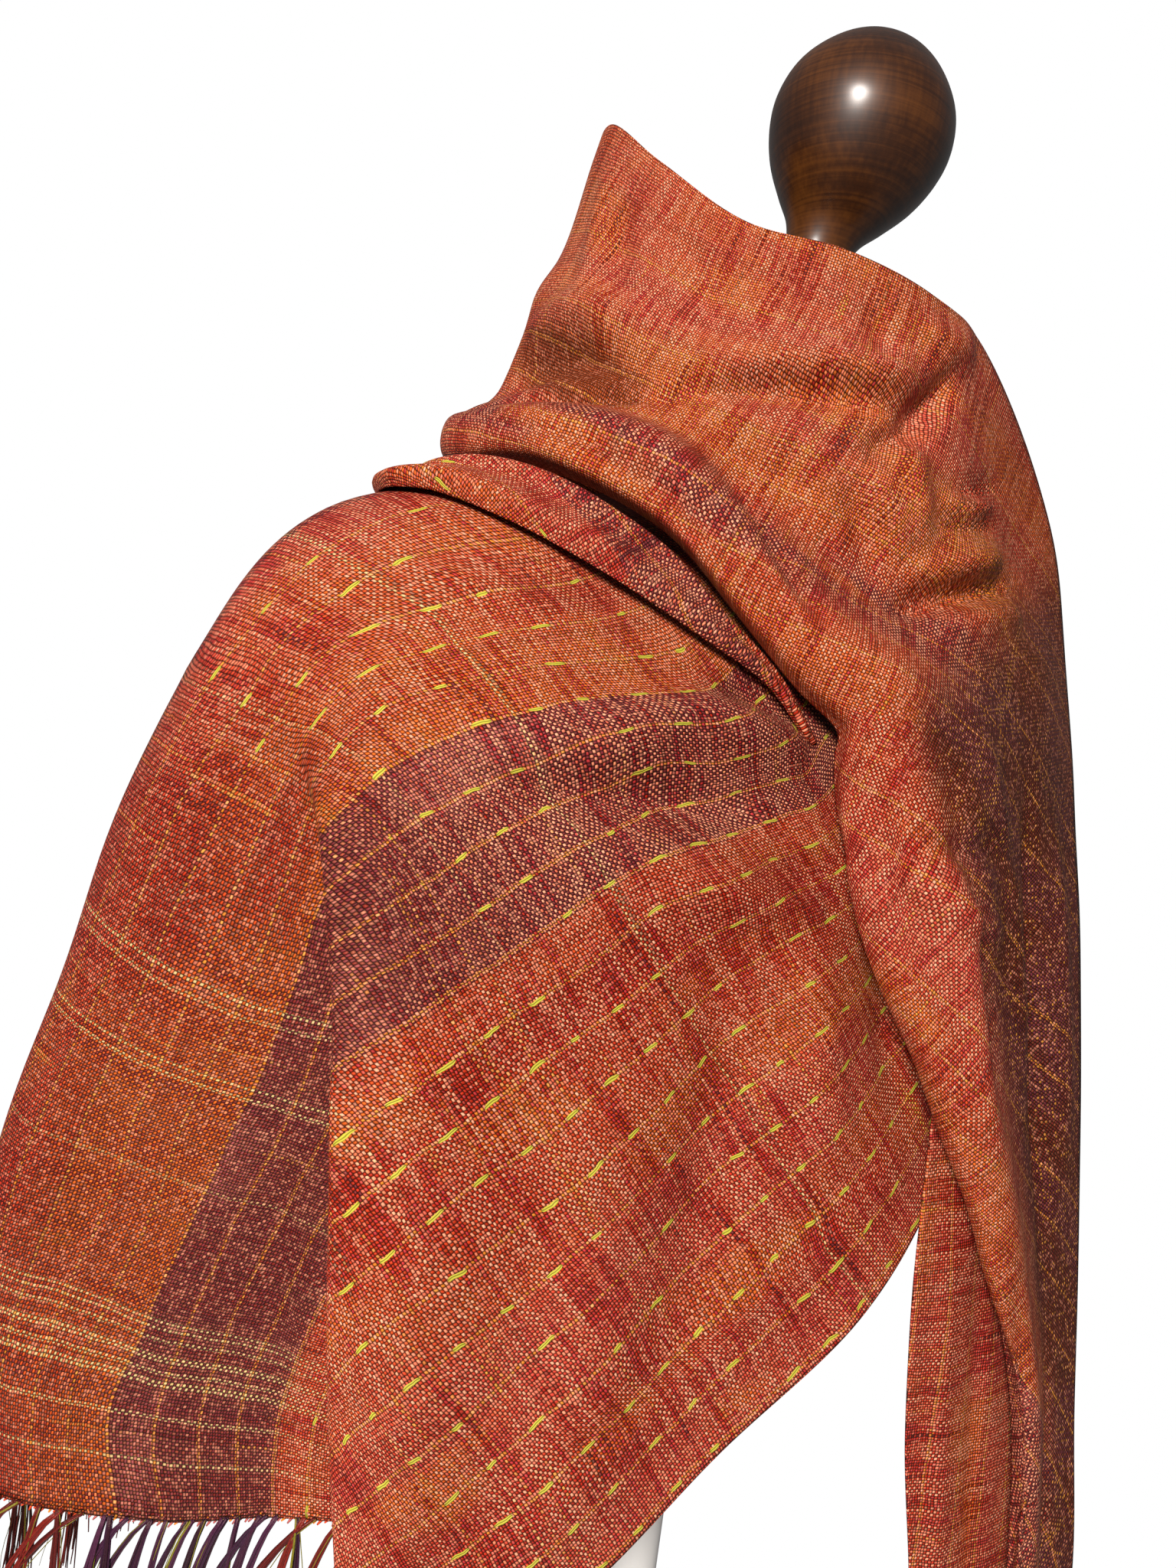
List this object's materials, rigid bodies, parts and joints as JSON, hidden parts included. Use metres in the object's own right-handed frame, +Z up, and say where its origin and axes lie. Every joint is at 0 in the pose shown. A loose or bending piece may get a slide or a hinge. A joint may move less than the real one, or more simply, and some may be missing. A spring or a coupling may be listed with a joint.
{
  "type": "merino silk scarf on a dress form",
  "caption": "Handwoven plain-weave scarf wound round a limbless dress form on a round stand, with a stand-up collar, a rolled cowl and fringed ends.",
  "frame": {"origin": "centre of the stand base's flat underside, on the floor", "axes": "+Z up, the form faces -Y, -X is the form's right side"},
  "size_m": [0.4663, 0.33, 1.6104],
  "materials": {
    "scarf_cloth": "plain-weave merino silk, space-dyed orange, crimson and plum, soft sheen",
    "scarf_fringe": "loose merino silk yarn",
    "form_cover": "ecru jersey cover",
    "dark_wood": "dark stained wood, gloss lacquer",
    "white_metal": "white satin paint"
  },
  "bodies": {
    "root": {"scarf_end_a_and_front": "scarf_cloth", "scarf_back": "scarf_cloth", "scarf_cowl_and_fall": "scarf_cloth", "scarf_inner_fold": "scarf_cloth", "scarf_end_b": "scarf_cloth", "fringe_a": "scarf_fringe", "fringe_b_outer": "scarf_fringe", "fringe_b_inner": "scarf_fringe", "form_body": "form_cover", "neck_cap": "dark_wood", "finial": "dark_wood", "stand_pole": "white_metal", "stand_base": "white_metal"}
  },
  "joints": []
}
